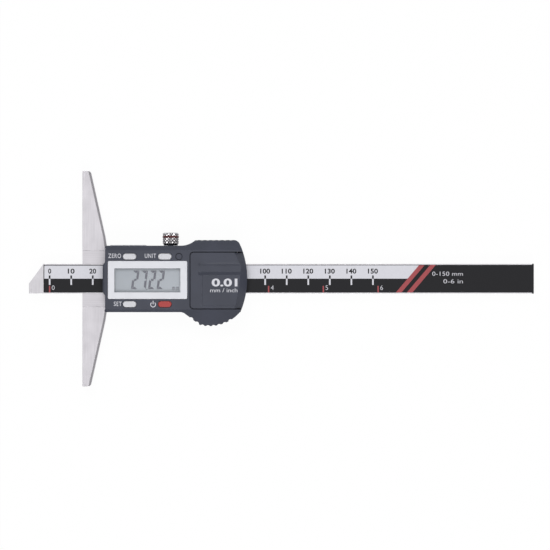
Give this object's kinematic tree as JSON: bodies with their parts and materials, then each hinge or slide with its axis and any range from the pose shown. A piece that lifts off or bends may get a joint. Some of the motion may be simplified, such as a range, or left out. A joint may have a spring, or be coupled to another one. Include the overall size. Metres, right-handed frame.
{
  "type": "digital depth caliper",
  "caption": "Digital depth caliper with a bevelled steel blade that slides through a wide measuring base, a display unit with buttons, a lock screw and a sliding battery cover.",
  "frame": {"origin": "on the measuring face's plane, on the blade's centre line, at the surface that the caliper lies on", "axes": "+X along the blade away from its tip, +Y along the measuring base, +Z out of the display"},
  "size_m": [0.2343, 0.1, 0.0154],
  "materials": {
    "blade_steel": "satin ground",
    "base_steel": "satin ground",
    "frame_steel": "satin ground",
    "dark_steel": "blackened",
    "screw_steel": "plated",
    "strip_laminate": "laminate",
    "light_film": "satin printed film",
    "black_ink": "printed",
    "red_ink": "printed",
    "gib_brass": "drawn",
    "knob_steel": "knurled",
    "ring_red": "inlaid",
    "case_plastic": "fine moulded texture",
    "bezel_silver": "silver-white",
    "lens_clear": "clear",
    "panel_grey": "reflective panel",
    "figure_grey": "display strokes",
    "zebra_rubber": "conductive strip",
    "board_green": "solder mask",
    "chip_black": "moulded",
    "button_light": "moulded",
    "button_red": "moulded",
    "cell_steel": "bright",
    "contact_gilt": "plated",
    "port_grey": "moulded"
  },
  "bodies": {
    "slider": {"base_bridge": "base_steel", "slider_frame": "frame_steel", "base_screws": "screw_steel", "gib_strip": "gib_brass", "gib_screws": "screw_steel", "front_cover": "case_plastic", "rear_cover": "case_plastic", "cover_screws": "screw_steel", "display_bezel": "bezel_silver", "display_lens": "lens_clear", "display_panel": "panel_grey", "display_figures": "figure_grey", "zebra_strips": "zebra_rubber", "circuit_board": "board_green", "display_chip": "chip_black", "key_switches": "chip_black", "blanking_plug": "case_plastic", "coin_cell": "cell_steel", "positive_contact": "contact_gilt", "negative_contact": "contact_gilt", "data_socket": "chip_black"},
    "blade": {"blade": "blade_steel", "stop_plate": "dark_steel", "stop_screws": "dark_steel", "scale_strip": "strip_laminate", "scale_film": "light_film", "black_print": "black_ink", "red_print": "red_ink"},
    "lock_shoe": {"lock_shoe": "gib_brass"},
    "lock_screw": {"lock_screw": "knob_steel", "lock_screw_ring": "ring_red"},
    "zero_button": {"zero_button": "button_light"},
    "unit_button": {"unit_button": "button_light"},
    "set_button": {"set_button": "button_light"},
    "power_button": {"power_button": "button_red"},
    "battery_cover": {"battery_cover": "case_plastic"},
    "port_cover": {"port_cover": "port_grey"}
  },
  "joints": [
    {"name": "blade_slide", "type": "slide", "parent": "slider", "child": "blade", "axis": [-1, 0, 0], "range_m": [-0.0248, 0.1252]},
    {"name": "lock_shoe_push", "type": "slide", "parent": "slider", "child": "lock_shoe", "axis": [0, 1, 0], "range_m": [0, 0.0005]},
    {"name": "lock_screw_turn", "type": "hinge", "parent": "lock_shoe", "child": "lock_screw", "pos_m": [0.04095, 0.018, 0.00545], "axis": [0, 1, 0], "range_deg": [0, 360]},
    {"name": "zero_button_press", "type": "slide", "parent": "slider", "child": "zero_button", "axis": [0, 0, -1], "range_m": [0, 0.0004], "stiffness_N_per_m": 800},
    {"name": "unit_button_press", "type": "slide", "parent": "slider", "child": "unit_button", "axis": [0, 0, -1], "range_m": [0, 0.0004], "stiffness_N_per_m": 800},
    {"name": "set_button_press", "type": "slide", "parent": "slider", "child": "set_button", "axis": [0, 0, -1], "range_m": [0, 0.0004], "stiffness_N_per_m": 800},
    {"name": "power_button_press", "type": "slide", "parent": "slider", "child": "power_button", "axis": [0, 0, -1], "range_m": [0, 0.0004], "stiffness_N_per_m": 800},
    {"name": "battery_cover_slide", "type": "slide", "parent": "slider", "child": "battery_cover", "axis": [1, 0, 0], "range_m": [0, 0.028]},
    {"name": "port_cover_slide", "type": "slide", "parent": "slider", "child": "port_cover", "axis": [-1, 0, 0], "range_m": [0, 0.017]}
  ],
  "couplings": [
    {"joint": "lock_screw_turn", "follows": "lock_shoe_push", "rad_per_m": 12566}
  ]
}
